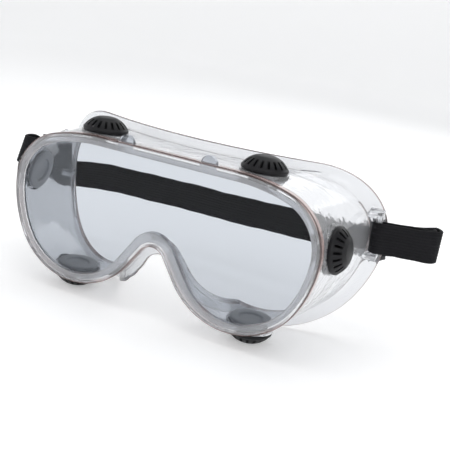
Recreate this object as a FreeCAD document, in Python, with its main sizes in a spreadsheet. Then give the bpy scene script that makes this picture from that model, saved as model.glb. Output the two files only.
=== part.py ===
import FreeCAD, Part
import math
import os

import Sketcher

# Safety goggles: a clear soft moulding that carries a flat lens, six capped vents and an elastic
# head strap.  Millimetres, +Z up, the lens faces -Y and +X is the wearer's left.  The goggles stand
# on their two bottom vent caps and the cheek edges of the face flange, so z = 0 is the table.

V = FreeCAD.Vector
doc = FreeCAD.newDocument("SafetyGoggles")
sheet = doc.addObject("Spreadsheet::Sheet", "Sizes")

SIZES = [
    # where the middle of the rim stands in the part's frame
    ("front_y", -50.4, "front face of the rim"),
    # front outline of the rim, measured from the middle of the rim
    ("rim_half_width", 79.8, "middle to the outer edge at the side"),
    ("rim_top", 37.0, "middle to the brow edge"),
    ("rim_bottom", 37.0, "middle down to the lowest point of a cheek lobe"),
    ("rim_brow_flat", 36.0, "half length of the straight brow"),
    ("rim_side_z", 7.5, "height of the widest point"),
    ("rim_lobe_x", 42.4, "sideways place of a cheek lobe's lowest point"),
    ("rim_nose_z", -8.0, "height of the nose arch"),
    ("rim_nose_radius", 6.9, "radius of the nose arch"),
    ("rim_nose_slope", 56.0, "slope of the nose flanks, degrees"),
    # rear outline of the walls, at the reference depth
    ("face_half_width", 88.4, "middle to the wall at the temple"),
    ("face_top", 36.6, "middle to the wall at the forehead"),
    ("face_bottom", 39.3, "middle down to the wall at a cheek"),
    ("face_brow_flat", 58.0, "half length of the straight forehead"),
    ("face_side_z", 8.0, "height of the widest point"),
    ("face_lobe_x", 48.0, "sideways place of a cheek's lowest point"),
    ("face_nose_z", -9.5, "height of the nose arch"),
    ("face_nose_radius", 13.0, "radius of the nose arch"),
    ("face_nose_slope", 62.0, "slope of the nose flanks, degrees"),
    ("face_overrun", 5.0, "how far behind the face edge the rear outline is drawn"),
    ("face_depth", 33.0, "rim front to the forehead, on the middle line"),
    ("face_radius", 144.0, "radius of the face curve, seen from above"),
    ("bridge_depth", 12.0, "rim front to the bridge of the nose, on the middle line"),
    ("bridge_radius", 34.0, "radius of the nose, seen from above"),
    ("bridge_top", 4.0, "height to which the nose stands out of the face"),
    # turns at which each corner of an outline passes from its first arc to its second
    ("brow_turn", 17.0, "degrees"),
    ("cheek_turn", 30.0, "degrees"),
    # moulding
    ("rim_depth", 4.5, "front to back of the rim"),
    ("rim_step", 0.8, "how far the rim stands proud of the walls"),
    ("bezel_width", 4.6, "rim face beside the visible lens"),
    ("nose_bezel", 2.4, "extra width of that face over the nose"),
    ("rim_round", 0.9, "rounding of the rim's front edges"),
    ("wall", 2.0, "thickness of the walls"),
    ("flange_width", 4.5, "lip that turns out against the face"),
    ("flange_thickness", 1.6, "thickness of that lip"),
    # lens
    ("lens_thickness", 2.0, "flat polycarbonate sheet"),
    ("lens_inset", 2.2, "outer edge of the rim to the edge of the lens"),
    ("lens_front", 1.2, "front of the rim to the front of the lens"),
    ("groove_clearance", 0.1, "play of the lens in its groove, each side"),
    ("tongue_x", 21.2, "middle of the goggles to the middle of a tongue"),
    ("tongue_width", 7.8, "tongue on the lens's top edge"),
    ("tongue_height", 3.6, "how far a tongue stands above the rim"),
    ("tongue_root", 2.0, "how far a tongue overlaps the sheet it grows from"),
    # vents
    ("vent_depth", 16.2, "rim front to the vents' axes"),
    ("top_vent_x", 42.0, "sideways place of a top vent"),
    ("bottom_vent_x", 48.5, "sideways place of a bottom vent"),
    ("side_vent_z", 10.0, "height of a side vent above the middle"),
    ("side_vent_lift", 8.0, "upward lean of a side vent, degrees"),
    ("side_vent_turn", 5.0, "forward lean of a side vent, degrees"),
    ("boss_margin", 0.6, "raised ring of the wall, beyond the skirt of the cap"),
    ("boss_height", 0.7, "how far that ring stands out of the wall"),
    ("boss_thickness", 3.4, "whole thickness of the ring"),
    ("stem_radius", 5.0, "tube of the vent insert"),
    ("stem_wall", 1.1, "wall of that tube"),
    ("stem_height", 3.0, "how far the tube stands above its ring"),
    ("stem_clearance", 0.08, "radial play of the tube in the wall and in the cap"),
    ("insert_radius", 10.0, "flat disc of the insert, inside the goggles"),
    ("insert_thickness", 1.8, "thickness of that disc"),
    ("recess_radius", 5.8, "dished middle of the disc"),
    ("recess_depth", 1.1, "depth of that dish"),
    ("insert_chamfer", 0.4, "broken edge of the disc"),
    ("insert_floor", 0.8, "floor that closes the dish"),
    ("cap_radius", 10.9, "skirt of a vent cap"),
    ("cap_height", 6.4, "cap from its seat to its flat top"),
    ("cap_gap", 0.3, "cap to the ring it sits over"),
    ("cap_skirt", 1.5, "straight part of the skirt"),
    ("cap_top_radius", 4.3, "flat disc at the top"),
    ("cap_dome", 11.0, "radius of the crowned side"),
    ("cap_wall", 1.2, "thickness of the cap"),
    ("cap_slots", 18, "slots round the cap"),
    ("slot_width", 1.2, "width of one slot"),
    ("slot_margin", 0.72, "sleeve to the inner end of a slot"),
    ("slot_edge", 0.9, "outer end of a slot to the skirt's surface"),
    ("slot_floor", 2.1, "height at which the slots start"),
    ("cap_sleeve", 1.0, "wall of the cap's inner sleeve"),
    ("sleeve_lift", 0.4, "lower end of the sleeve above the skirt's edge"),
    ("sleeve_web", 0.6, "thickening of the cap where the sleeve joins it"),
    ("cap_ledge", 0.4, "ledge between the skirt and the crowned side"),
    ("cap_travel", 8.0, "pull that frees a cap"),
    # strap lugs
    ("lug_setback", 6.8, "strap bar to the face flange behind it"),
    ("lug_z", 11.5, "middle of the lug above the middle of the rim"),
    ("lug_lean", 13.0, "forward lean of the bar, degrees"),
    ("lug_play", 2.0, "strap to each arm"),
    ("lug_arm", 2.6, "thickness of an arm"),
    ("lug_length", 7.0, "front to back of an arm"),
    ("lug_room", 1.2, "spare depth behind the strap, under the bar"),
    ("lug_root", 6.0, "how far an arm is drawn into the wall"),
    ("lug_bar", 1.5, "radius of the strap bar"),
    # head strap
    ("strap_width", 16.0, "elastic webbing"),
    ("strap_thickness", 1.5, "elastic webbing"),
    ("strap_clearance", 0.3, "strap to the bar"),
    ("strap_drop", 1.0, "strap's middle below the middle of the lug"),
    ("fold_out", 21.3, "strap bar to the middle of a fold, sideways"),
    ("fold_radius", 2.4, "inner ply at a fold"),
    ("right_fold_back", 18.5, "strap bar to the fold on the +X side, front to back"),
    ("left_fold_back", 1.5, "strap bar to the fold on the -X side, front to back"),
    ("right_fold_z", 9.0, "height of the +X fold above the middle of the rim"),
    ("left_fold_z", 8.0, "height of the -X fold above the middle of the rim"),
    ("tail_length", 20.0, "free end of the strap beyond the adjuster"),
    ("seam_length", 16.0, "sewn end of the strap beyond the bar"),
    ("seam_pinch", 1.0, "how far the sewn end is drawn in towards the other ply"),
    # strap adjuster
    ("adjuster_length", 9.0, "along the strap"),
    ("adjuster_margin", 2.2, "rails round the strap"),
    ("adjuster_bar", 0.9, "bar between the plies"),
    ("adjuster_skin", 1.3, "face of the adjuster in front of a ply"),
    ("adjuster_play", 0.25, "strap to the adjuster, each side"),
    ("adjuster_place", 31.0, "fold to the middle of the adjuster"),
]
for row, (alias, value, note) in enumerate(SIZES, 1):
    sheet.set(f"A{row}", alias)
    sheet.set(f"B{row}", str(value))
    sheet.setAlias(f"B{row}", alias)
    sheet.set(f"C{row}", note)
doc.recompute()

FRONT = sheet.front_y
MIDDLE = sheet.face_bottom + sheet.flange_width       # the flange's cheek edges stand on the table
RAY_LENGTH = 200.0                                    # longer than any way out of the goggles
FACE_EDGE = sheet.face_half_width + sheet.flange_width
SIDES = {"right": 1, "left": -1}          # +X is named right, as the goggles are seen from the front
nodes = []


def place(x, depth, height):
    """A point given from the middle of the rim's front face."""
    return V(x, FRONT + depth, MIDDLE + height)


def face_depth_at(x, standoff=0.0):
    """Depth of the face's surface at a sideways place, or of a surface that stands off from it."""
    reach = math.sqrt((sheet.face_radius + standoff) ** 2 - x ** 2)
    return sheet.face_depth + sheet.face_radius - reach


def keep(feature, label):
    """Names a finished sub-part."""
    feature.Label = label
    nodes.append(feature)
    return feature


def feature(kind, name, **values):
    made = doc.addObject(kind, name)
    for key, value in values.items():
        setattr(made, key, value)
    return made


def cut(name, base, tool):
    return feature("Part::Cut", name, Base=base, Tool=tool)


def fuse(name, shapes):
    return feature("Part::MultiFuse", name, Shapes=shapes)


def solid(name, shape):
    return feature("Part::Feature", name, Shape=shape)


# ---------------------------------------------------------------- outlines

def corner_radii(run, drop, turn):
    """Radii of two tangent arcs that turn a quarter circle over a run and a drop."""
    s, c = math.sin(turn), math.cos(turn)
    second = (drop * s - run * (1 - c)) / (c * s - (1 - s) * (1 - c))
    first = (run - second * (1 - s)) / s
    return first, second


def nose_flank(run, rise, slope, nose_radius):
    """Lobe radius and straight length between a cheek lobe and the nose arch."""
    s, c = math.sin(slope), math.cos(slope)
    run -= nose_radius * s
    rise -= nose_radius * (1 - c)
    lobe = (run * s - rise * c) / (s * s - (1 - c) * c)
    return lobe, (rise - lobe * (1 - c)) / s


def outline(kind, depth, offset=0.0, nose_lift=0.0):
    """Closed goggle outline of tangent arcs, in the plane at a depth, moved outward by an offset,
    with its nose arch lifted."""
    def get(name):
        return getattr(sheet, f"{kind}_{name}")

    width, top, bottom = get("half_width"), get("top"), -get("bottom")
    flat, side_z, lobe_x = get("brow_flat"), get("side_z"), get("lobe_x")
    nose_z, nose_radius = get("nose_z") + nose_lift, get("nose_radius")
    slope = math.radians(get("nose_slope"))
    brow, cheek = math.radians(sheet.brow_turn), math.radians(sheet.cheek_turn)
    brow_first, brow_second = corner_radii(width - flat, top - side_z, brow)
    cheek_first, cheek_second = corner_radii(side_z - bottom, width - lobe_x, cheek)
    lobe, flank = nose_flank(lobe_x, nose_z - bottom, slope, nose_radius)
    quarter = math.pi / 2
    point, heading = (flat, top + offset), 0.0
    half = []
    for radius, turn in (
        (brow_first, brow), (brow_second, quarter - brow),
        (cheek_first, cheek), (cheek_second, quarter - cheek), (lobe, slope),
    ):
        stops = [point]
        centre = (point[0] + (radius + offset) * math.sin(heading),
                  point[1] - (radius + offset) * math.cos(heading))
        for part in (0.5, 1.0):
            angle = heading - turn * part
            stops.append((centre[0] - (radius + offset) * math.sin(angle),
                          centre[1] + (radius + offset) * math.cos(angle)))
        half.append(stops)
        point, heading = stops[-1], heading - turn
    foot = point
    shoulder = (foot[0] + flank * math.cos(heading), foot[1] + flank * math.sin(heading))
    half.append([foot, shoulder])
    apex = (0.0, nose_z - offset)

    def edge(stops, mirrored):
        points = [place(-x if mirrored else x, depth, z) for x, z in stops]
        if mirrored:
            points.reverse()
        if len(points) == 2:
            return Part.makeLine(*points)
        return Part.Arc(*points).toShape()

    edges = [edge([(-flat, top + offset), (flat, top + offset)], False)]
    edges += [edge(stops, False) for stops in half]
    edges.append(edge([shoulder, apex, (-shoulder[0], shoulder[1])], False))
    edges += [edge(stops, True) for stops in reversed(half)]
    return Part.Wire(edges)


def slab(name, kind, depth, offset, length, nose_lift=0.0):
    """An outline made into a solid along +Y; its length is an expression on the sheet."""
    line = solid(name + "Outline", outline(kind, depth, offset, nose_lift))
    made = feature("Part::Extrusion", name, Base=line, DirMode="Custom", Dir=V(0, 1, 0), Solid=True)
    made.setExpression("LengthFwd", length)
    return made


REAR_DEPTH = face_depth_at(FACE_EDGE) + sheet.face_overrun


def tunnel(name, front_offset, rear_offset):
    """The tapered solid between the back of the rim and the rear outline."""
    front = solid(name + "Front", outline("rim", sheet.rim_depth, front_offset))
    rear = solid(name + "Rear", outline("face", REAR_DEPTH, rear_offset))
    return feature("Part::Loft", name, Sections=[front, rear], Solid=True, Ruled=True)


# ---------------------------------------------------------------- rim and lens

rim = slab("RimBlank", "rim", 0.0, 0.0, "Sizes.rim_depth")
rim = cut("RimRing", rim, slab("RimWindow", "rim", 0.0, -sheet.bezel_width, "Sizes.rim_depth",
                               sheet.nose_bezel))
doc.recompute()


def front_edges(shape):
    """Numbers of the edges that lie in the rim's front face."""
    for number, one in enumerate(shape.Edges, 1):
        if all(abs(v.Point.y - FRONT) < 1e-6 for v in one.Vertexes):
            yield number


rounded = feature("Part::Fillet", "RimRounded", Base=rim)
rounded.Edges = [(n, sheet.rim_round, sheet.rim_round) for n in front_edges(rim.Shape)]
groove = slab("LensGroove", "rim", sheet.lens_front - sheet.groove_clearance,
              sheet.groove_clearance - sheet.lens_inset,
              "Sizes.lens_thickness + 2 * Sizes.groove_clearance")
rim = cut("RimGrooved", rounded, groove)


def tongue_blank(name, side, extra):
    """A round-topped tongue that stands up from the lens, or the notch that clears it."""
    half = sheet.tongue_width / 2 + extra
    foot = sheet.rim_top - sheet.lens_inset - sheet.tongue_root
    top = sheet.rim_top + sheet.tongue_height + extra
    middle = side * sheet.tongue_x
    depth = sheet.lens_front - extra
    bend = min(half, top - foot)
    points = [place(middle - half, depth, foot), place(middle - half, depth, top - bend),
              place(middle, depth, top), place(middle + half, depth, top - bend),
              place(middle + half, depth, foot)]
    wire = Part.Wire([Part.makeLine(points[0], points[1]),
                      Part.Arc(points[1], points[2], points[3]).toShape(),
                      Part.makeLine(points[3], points[4]), Part.makeLine(points[4], points[0])])
    face = solid(name + "Outline", wire)
    made = feature("Part::Extrusion", name, Base=face, DirMode="Custom", Dir=V(0, 1, 0), Solid=True)
    made.setExpression("LengthFwd", f"Sizes.lens_thickness + {2 * extra}")
    return made


notches = fuse("TongueNotches", [
    tongue_blank("Notch" + word.title(), side, sheet.groove_clearance) for word, side in SIDES.items()])
keep(cut("Rim", rim, notches), "rim")

lens = slab("LensSheet", "rim", sheet.lens_front, -sheet.lens_inset, "Sizes.lens_thickness")
tongues = [tongue_blank("Tongue" + word.title(), side, 0.0) for word, side in SIDES.items()]
keep(fuse("Lens", [lens] + tongues), "lens")

# ---------------------------------------------------------------- walls and face flange

outer = tunnel("WallOuter", -sheet.rim_step, 0.0)
inner = tunnel("WallInner", -sheet.rim_step - sheet.wall, -sheet.wall)


def upright(name, part, standoff, top):
    """An upright cylinder that stands for the face or the nose, from well below the goggles to a top."""
    made = feature("Part::Cylinder", name)
    made.setExpression("Radius", f"Sizes.{part}_radius + {standoff}")
    made.Height = 2 * MIDDLE + top
    made.setExpression("Placement.Base.y", f"Sizes.front_y + Sizes.{part}_depth + Sizes.{part}_radius")
    made.Placement.Base.z = -2 * MIDDLE
    return made


def head(name, standoff):
    """The wearer's face with the nose that stands out of it, grown by a standoff."""
    return fuse(name, [upright(name + "Front", "face", standoff, 4 * MIDDLE),
                       upright(name + "Nose", "bridge", standoff, MIDDLE + sheet.bridge_top)])


face = head("Face", 0.0)
face_near = head("FaceNear", sheet.flange_thickness)
walls = cut("WallsOpen", cut("WallTube", outer, inner), face_near)
plate = slab("FlangePlate", "face", sheet.rim_depth, sheet.flange_width,
             f"{REAR_DEPTH} - Sizes.rim_depth")
plate = feature("Part::Common", "FlangeFront", Base=plate, Tool=face_near)
flange = keep(cut("Flange", cut("FlangeCurved", plate, face), inner), "face_flange")
doc.recompute()


# ---------------------------------------------------------------- vents

def wall_hit(start, direction):
    """The furthest point of the wall's outer surface along a ray from inside the goggles."""
    ray = Part.makeLine(start, start + direction * RAY_LENGTH)
    inside = outer.Shape.common(ray)
    return max((v.Point for v in inside.Vertexes), key=lambda p: (p - start).Length)


def vent_stations():
    """Name, seat centre and outward direction of each vent."""
    lift, turn = math.radians(sheet.side_vent_lift), math.radians(sheet.side_vent_turn)
    for word, side in SIDES.items():
        depth = sheet.vent_depth
        for level, x, axis in (("top", sheet.top_vent_x, V(0, 0, 1)),
                               ("bottom", sheet.bottom_vent_x, V(0, 0, -1))):
            yield f"{level}_{word}", wall_hit(place(side * x, depth, 0), axis), axis
        axis = V(side * math.cos(lift) * math.cos(turn), -math.sin(turn) * math.cos(lift), math.sin(lift))
        start = place(0, depth, sheet.side_vent_z)
        yield f"side_{word}", wall_hit(start, V(side, 0, 0)), axis


def seated(point, axis, lift=0.0):
    """Placement that stands a turned piece on the wall, its own +Z along the vent's axis."""
    return FreeCAD.Placement(point + axis * lift, FreeCAD.Rotation(V(0, 0, 1), axis))


def profile(body, corners, domes=None):
    """Closed sketch on the body's XZ plane.  Corners are pairs of expressions for radius and height,
    and a dome is a crowned side after the corner of that number, with its radius as an expression."""
    domes = domes or {}
    sketch = body.newObject("Sketcher::SketchObject", "Profile")
    plane = next(f for f in body.Origin.OriginFeatures if f.Role == "XZ_Plane")
    sketch.AttachmentSupport = [(plane, "")]
    sketch.MapMode = "FlatFace"
    spots = [tuple(float(sketch.evalExpression(e)) for e in corner) for corner in corners]
    count = len(spots)
    ends = []
    for i, (x, z) in enumerate(spots):
        a, b = V(x, z, 0), V(*spots[(i + 1) % count], 0)
        if i in domes:
            radius = float(sketch.evalExpression(domes[i]))
            chord = b - a
            middle = (a + b) / 2
            normal = V(chord.y, -chord.x, 0).normalize()
            centre = middle - normal * math.sqrt(radius ** 2 - (chord.Length / 2) ** 2)
            first = math.atan2(a.y - centre.y, a.x - centre.x)
            last = math.atan2(b.y - centre.y, b.x - centre.x)
            circle = Part.Circle(centre, V(0, 0, 1), radius)
            sketch.addGeometry(Part.ArcOfCircle(circle, first, last), False)
        else:
            sketch.addGeometry(Part.LineSegment(a, b), False)
    for i, (x, z) in enumerate(spots):
        sketch.addConstraint(Sketcher.Constraint("Coincident", i, 2, (i + 1) % count, 1))
        for value, kind, axis, text in ((x, "DistanceX", -2, corners[i][0]),
                                        (z, "DistanceY", -1, corners[i][1])):
            if abs(value) < 1e-9:
                sketch.addConstraint(Sketcher.Constraint("PointOnObject", i, 1, axis))
            else:
                number = sketch.addConstraint(Sketcher.Constraint(kind, -1, 1, i, 1, value))
                sketch.setExpression(f"Constraints[{number}]", text)
    for i, text in domes.items():
        number = sketch.addConstraint(
            Sketcher.Constraint("Radius", i, float(sketch.evalExpression(text))))
        sketch.setExpression(f"Constraints[{number}]", text)
    return sketch


def turned(name, corners, domes=None):
    """A body turned about its own Z axis."""
    body = doc.addObject("PartDesign::Body", name)
    sketch = profile(body, corners, domes)
    turn = body.newObject("PartDesign::Revolution", "Turned")
    turn.Profile = sketch
    turn.ReferenceAxis = (sketch, ["V_Axis"])
    turn.Angle = 360
    body.Tip = turn
    sketch.Visibility = False
    return body


def vent_cap(label, point, axis):
    """Slotted cap.  A sleeve inside it slips over the tube of the insert."""
    body = turned("Cap", [
        ("Sizes.stem_radius + Sizes.stem_clearance", "Sizes.sleeve_lift"),
        ("Sizes.stem_radius + Sizes.stem_clearance + Sizes.cap_sleeve", "Sizes.sleeve_lift"),
        ("Sizes.stem_radius + Sizes.stem_clearance + Sizes.cap_sleeve",
         "Sizes.cap_height - Sizes.cap_wall - Sizes.sleeve_web"),
        ("Sizes.cap_radius - Sizes.cap_wall", "Sizes.cap_skirt"),
        ("Sizes.cap_radius - Sizes.cap_wall", "0"),
        ("Sizes.cap_radius", "0"),
        ("Sizes.cap_radius", "Sizes.cap_skirt"),
        ("Sizes.cap_radius - Sizes.cap_ledge", "Sizes.cap_skirt + Sizes.cap_ledge / 2"),
        ("Sizes.cap_top_radius", "Sizes.cap_height"),
        ("0", "Sizes.cap_height"),
        ("0", "Sizes.cap_height - Sizes.cap_wall"),
        ("Sizes.stem_radius + Sizes.stem_clearance", "Sizes.cap_height - Sizes.cap_wall"),
    ], {7: "Sizes.cap_dome"})
    sketch = body.newObject("Sketcher::SketchObject", "Slot")
    plane = next(f for f in body.Origin.OriginFeatures if f.Role == "XY_Plane")
    sketch.AttachmentSupport = [(plane, "")]
    sketch.MapMode = "FlatFace"
    sketch.setExpression("AttachmentOffset.Base.z", "Sizes.slot_floor")
    slot_start = "Sizes.stem_radius + Sizes.stem_clearance + Sizes.cap_sleeve + Sizes.slot_margin"
    slot_stop = "Sizes.cap_radius - Sizes.slot_edge"
    inner_end, outer_end = (float(sketch.evalExpression(e)) for e in (slot_start, slot_stop))
    half = sheet.slot_width / 2
    ring = [V(inner_end, -half, 0), V(outer_end, -half, 0), V(outer_end, half, 0), V(inner_end, half, 0)]
    for i in range(4):
        sketch.addGeometry(Part.LineSegment(ring[i], ring[(i + 1) % 4]), False)
    for i in range(4):
        sketch.addConstraint(Sketcher.Constraint("Coincident", i, 2, (i + 1) % 4, 1))
    for i, kind in ((0, "Horizontal"), (2, "Horizontal"), (3, "Vertical")):
        sketch.addConstraint(Sketcher.Constraint(kind, i))
    sketch.addConstraint(Sketcher.Constraint("Symmetric", 1, 1, 1, 2, -1))
    for kind, i, pos, value, text in (
        ("DistanceX", 0, 1, inner_end, slot_start),
        ("DistanceX", 1, 1, outer_end, slot_stop),
    ):
        number = sketch.addConstraint(Sketcher.Constraint(kind, -1, 1, i, pos, value))
        sketch.setExpression(f"Constraints[{number}]", text)
    number = sketch.addConstraint(Sketcher.Constraint("DistanceY", 1, 1, 1, 2, 2 * half))
    sketch.setExpression(f"Constraints[{number}]", "Sizes.slot_width")
    doc.recompute()
    pocket = body.newObject("PartDesign::Pocket", "SlotCut")
    pocket.Profile = sketch
    pocket.Reversed = True
    pocket.Type = "ThroughAll"
    body.Tip = pocket
    doc.recompute()
    ring = body.newObject("PartDesign::PolarPattern", "SlotRing")
    ring.Originals = [pocket]
    ring.Axis = (sketch, ["N_Axis"])
    ring.Angle = 360
    ring.setExpression("Occurrences", "Sizes.cap_slots")
    body.Tip = ring
    body.Placement = seated(point, axis, sheet.boss_height + sheet.cap_gap)
    return keep(body, f"vent_cap_{label}")


def vent_insert(label, point, axis):
    """Plug pushed through the wall from inside: a dished disc and a tube that carries the cap."""
    depth = sheet.boss_thickness - sheet.boss_height
    body = turned("Insert", [
        ("0", "Sizes.recess_depth"),
        ("Sizes.recess_radius", "Sizes.recess_depth"),
        ("Sizes.recess_radius", "0"),
        ("Sizes.insert_radius - Sizes.insert_chamfer", "0"),
        ("Sizes.insert_radius", "Sizes.insert_chamfer"),
        ("Sizes.insert_radius", "Sizes.insert_thickness"),
        ("Sizes.stem_radius", "Sizes.insert_thickness"),
        ("Sizes.stem_radius", "Sizes.insert_thickness + Sizes.boss_thickness + Sizes.stem_height"),
        ("Sizes.stem_radius - Sizes.stem_wall",
         "Sizes.insert_thickness + Sizes.boss_thickness + Sizes.stem_height"),
        ("Sizes.stem_radius - Sizes.stem_wall", "Sizes.recess_depth + Sizes.insert_floor"),
        ("0", "Sizes.recess_depth + Sizes.insert_floor"),
    ])
    body.Placement = seated(point, axis, -depth - sheet.insert_thickness)
    return keep(body, f"vent_insert_{label}")


stations = list(vent_stations())
bosses, holes = [], []
HOLE_OVERRUN = 4.0                                    # how far a drilled hole is drawn past the wall
POCKET_REACH = 8.0                                    # how far the seat of an insert is cleared inward
SEAT_CLEARANCE = 0.1                                  # insert's disc to the wall around it
for label, point, axis in stations:
    back = sheet.boss_height - sheet.boss_thickness
    boss = feature("Part::Cylinder", "Boss")
    boss.setExpression("Radius", "Sizes.cap_radius + Sizes.boss_margin")
    boss.setExpression("Height", "Sizes.boss_thickness")
    boss.Placement = seated(point, axis, back)
    bosses.append(boss)
    hole = feature("Part::Cylinder", "VentHole")
    hole.setExpression("Radius", "Sizes.stem_radius + Sizes.stem_clearance")
    hole.setExpression("Height", f"Sizes.boss_thickness + {2 * HOLE_OVERRUN}")
    hole.Placement = seated(point, axis, back - HOLE_OVERRUN)
    seat = feature("Part::Cylinder", "InsertSeat", Height=POCKET_REACH)
    seat.setExpression("Radius", f"Sizes.insert_radius + {SEAT_CLEARANCE}")
    seat.Placement = seated(point, axis, back - POCKET_REACH)
    holes += [hole, seat]
walls = cut("WallsVented", fuse("WallsWithBosses", [walls] + bosses), fuse("VentHoles", holes))
rear_of_rim = slab("RimSpace", "rim", 0.0, sheet.cap_radius + sheet.boss_margin, "Sizes.rim_depth")
keep(cut("Walls", walls, rear_of_rim), "walls")

for label, point, axis in stations:
    vent_insert(label, point, axis)
    vent_cap(label, point, axis)

# ---------------------------------------------------------------- strap lugs

lug_depth = face_depth_at(sheet.face_half_width, sheet.flange_thickness) - sheet.lug_setback
lug_gap = sheet.strap_thickness + sheet.strap_clearance + sheet.lug_room
lug_wall = wall_hit(place(0, lug_depth, sheet.lug_z), V(1, 0, 0)).x
bar_x = lug_wall + lug_gap + sheet.lug_bar


def box(name, low, high):
    made = feature("Part::Box", name, Length=high.x - low.x, Width=high.y - low.y, Height=high.z - low.z)
    made.Placement.Base = low
    return made


def strap_lug(word, side):
    """Bracket of two arms and a round bar on the temple wall, moulded with it.  It leans forward."""
    half = sheet.strap_width / 2 + sheet.lug_play
    tall = half + sheet.lug_arm
    reach = bar_x + sheet.lug_bar
    pieces = []
    for low, high in ((half, tall), (-tall, -half)):
        ends = sorted((side * (lug_wall - sheet.lug_root), side * reach))
        pieces.append(box("LugArm", V(ends[0], -sheet.lug_length / 2, low),
                          V(ends[1], sheet.lug_length / 2, high)))
    bar = feature("Part::Cylinder", "LugBar", Radius=sheet.lug_bar, Height=2 * tall)
    bar.Placement.Base = V(side * bar_x, 0, -tall)
    lug = fuse("LugBlank", pieces + [bar])
    lean = FreeCAD.Rotation(V(1, 0, 0), sheet.lug_lean)
    lug.Placement = FreeCAD.Placement(place(0, lug_depth, sheet.lug_z), lean)
    lug = cut("LugOnWall", lug, outer)
    keep(cut("Lug" + word.title(), lug, flange), f"strap_lug_{word}")


for word, side in SIDES.items():
    strap_lug(word, side)

# ---------------------------------------------------------------- head strap and its adjuster

PLY = sheet.strap_thickness / 2
WRAP = sheet.lug_bar + sheet.strap_clearance + PLY
PITCH = sheet.strap_thickness + 2 * sheet.adjuster_play + sheet.adjuster_bar
OUTER_FOLD = sheet.fold_radius + PITCH
WIDE_TURN = 20.0                                     # radius from which a bend counts as a slack curve
FOLD_STEP, WIDE_STEP = math.radians(30), math.radians(8)


def tangent(first, second):
    """Ends of the straight run between two round stations, each (x, y, radius, turn): turn is 1 where
    the strap passes the station turning left, seen from above, and -1 where it turns right."""
    (ax, ay, ar, at), (bx, by, br, bt) = first[:4], second[:4]
    dx, dy = bx - ax, by - ay
    length = math.hypot(dx, dy)
    # the strap passes at radius r on the right-hand side of a station where it turns left
    spread = math.asin((at * ar - bt * br) / length)
    heading = math.atan2(dy, dx) + spread
    right = (math.sin(heading), -math.cos(heading))
    return ((ax + at * ar * right[0], ay + at * ar * right[1]),
            (bx + bt * br * right[0], by + bt * br * right[1]), heading)


def strap_frames(stations):
    """Middle points, leans and headings of the strap's sections along a chain of round stations."""
    runs = [tangent(a, b) for a, b in zip(stations, stations[1:])]
    frames = []
    for number, station in enumerate(stations):
        x, y, radius, turn, height, lean = station
        if radius == 0:
            end = runs[0][0] if number == 0 else runs[-1][1]
            frames.append((end[0], end[1], height, lean, runs[0][2] if number == 0 else runs[-1][2]))
            continue
        into, out = runs[number - 1][2], runs[number][2]
        swing = (out - into) * turn % (2 * math.pi) * turn
        step = FOLD_STEP if radius < WIDE_TURN else WIDE_STEP
        count = max(1, math.ceil(abs(swing) / step))
        for i in range(count + 1):
            heading = into + swing * i / count
            frames.append((x + turn * radius * math.sin(heading), y - turn * radius * math.cos(heading),
                           height, lean, heading))
    return frames


def strap_solid(frames, width, thickness):
    """Flat webbing through a chain of upright rectangular sections."""
    sections = []
    for x, y, z, lean, heading in frames:
        up = V(0, -math.sin(lean), math.cos(lean)) * (width / 2)
        across = V(-math.sin(heading), math.cos(heading), 0) * (thickness / 2)
        middle = place(x, y, z)
        ring = [middle + up + across, middle + up - across, middle - up - across, middle - up + across]
        sections.append(Part.makePolygon(ring + ring[:1]))
    return Part.makeLoft(sections, True, True)


LEAN = math.radians(sheet.lug_lean)
bar_height = sheet.lug_z - sheet.strap_drop
bar_depth = lug_depth + sheet.strap_drop * math.tan(LEAN)
fold_x = bar_x + sheet.fold_out
right_fold_depth = lug_depth + sheet.right_fold_back
left_fold_depth = lug_depth + sheet.left_fold_back
# The strap's stations: x, depth, radius, turn, height, lean.  It starts beside the adjuster, goes
# round the +X fold and bar, returns over the same fold, crosses behind the goggles in a slack
# curve and ends round the other bar.
right_bar = (bar_x, bar_depth, WRAP, 1, bar_height, LEAN)
left_bar = (-bar_x, bar_depth, WRAP, 1, bar_height, LEAN)
outer_fold = (fold_x, right_fold_depth, OUTER_FOLD, 1, sheet.right_fold_z, 0.0)
inner_fold = (fold_x, right_fold_depth, sheet.fold_radius, -1, sheet.right_fold_z, 0.0)
left_fold = (-fold_x, left_fold_depth, OUTER_FOLD, 1, sheet.left_fold_z, 0.0)
crossing = [
    (48.0, 36.0, 60.0, 1, -4.2, 0.0),
    (-22.0, 12.0, 88.0, 1, -6.6, 0.0),
    (-72.0, 60.0, 36.0, 1, -6.8, 0.0),
]
start, stop, run_heading = tangent(outer_fold, crossing[0])
run_length = math.dist(start, stop)
run_rise = crossing[0][4] - sheet.right_fold_z


def on_run(distance, inward):
    """A point of the straight run behind the +X fold, moved towards the face."""
    share = distance / run_length
    return (start[0] + distance * math.cos(run_heading) - inward * math.sin(run_heading),
            start[1] + distance * math.sin(run_heading) + inward * math.cos(run_heading),
            sheet.right_fold_z + run_rise * share)


tail_end = on_run(sheet.adjuster_place + sheet.tail_length, PITCH)
tail = (tail_end[0], tail_end[1], 0, 1, tail_end[2], 0.0)
seam = (-bar_x - sheet.seam_length, bar_depth + WRAP - sheet.seam_pinch, 0, 1, bar_height, LEAN / 4)
route = [tail, inner_fold, right_bar, outer_fold] + crossing + [left_fold, left_bar, seam]
frames = strap_frames(route)
head_strap = keep(solid("HeadStrap", strap_solid(frames, sheet.strap_width, sheet.strap_thickness)),
                  "head_strap")
strap_length = sum(math.dist(a[:3], b[:3]) for a, b in zip(frames, frames[1:]))


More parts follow.
